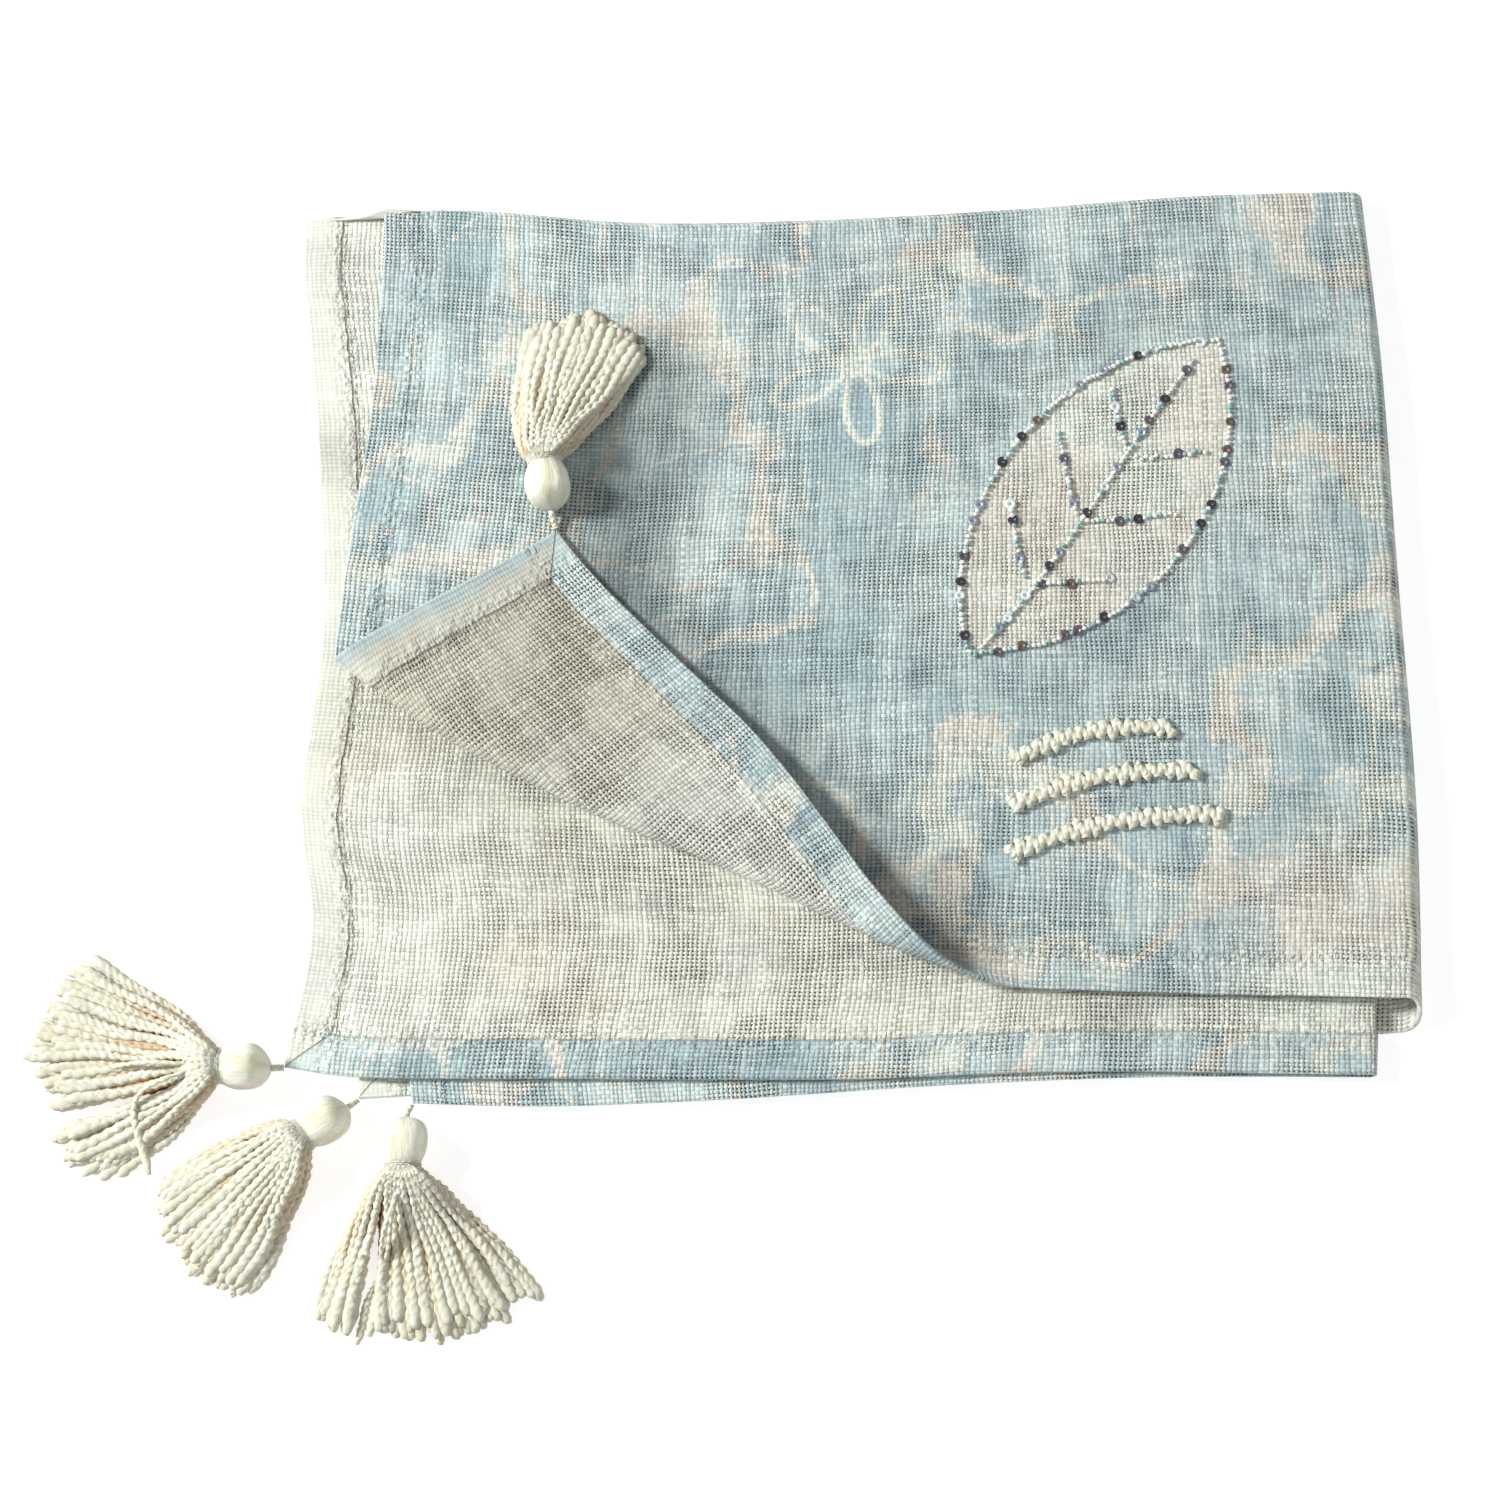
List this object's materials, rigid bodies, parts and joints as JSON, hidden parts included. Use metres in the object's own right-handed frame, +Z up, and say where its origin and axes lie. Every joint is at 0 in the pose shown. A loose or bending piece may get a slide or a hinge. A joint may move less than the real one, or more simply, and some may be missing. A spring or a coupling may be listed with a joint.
{
  "type": "cotton throw blanket, folded",
  "caption": "Slub cotton throw folded in quarters, washed blue on its face and cream on its reverse, one corner turned back, a tassel at every corner.",
  "frame": {"origin": "on the floor under the middle of the folded stack, on the underside of the lowest layer", "axes": "+Z up, +X along the folded throw's long side towards its side fold, +Y towards its top fold"},
  "size_m": [0.9525, 0.8294, 0.051],
  "materials": {
    "slub_cotton": "matte woven cotton, washed blue face and cream reverse",
    "cotton_yarn": "matte twisted cotton yarn"
  },
  "bodies": {
    "root": {"throw_cloth": "slub_cotton", "tassel_left": "cotton_yarn", "tassel_middle": "cotton_yarn", "tassel_right": "cotton_yarn", "tassel_top": "cotton_yarn", "neck_binding_left": "cotton_yarn", "neck_binding_middle": "cotton_yarn", "neck_binding_right": "cotton_yarn", "neck_binding_top": "cotton_yarn", "hanging_cord_left": "cotton_yarn", "hanging_cord_middle": "cotton_yarn", "hanging_cord_right": "cotton_yarn", "hanging_cord_top": "cotton_yarn"}
  },
  "joints": []
}
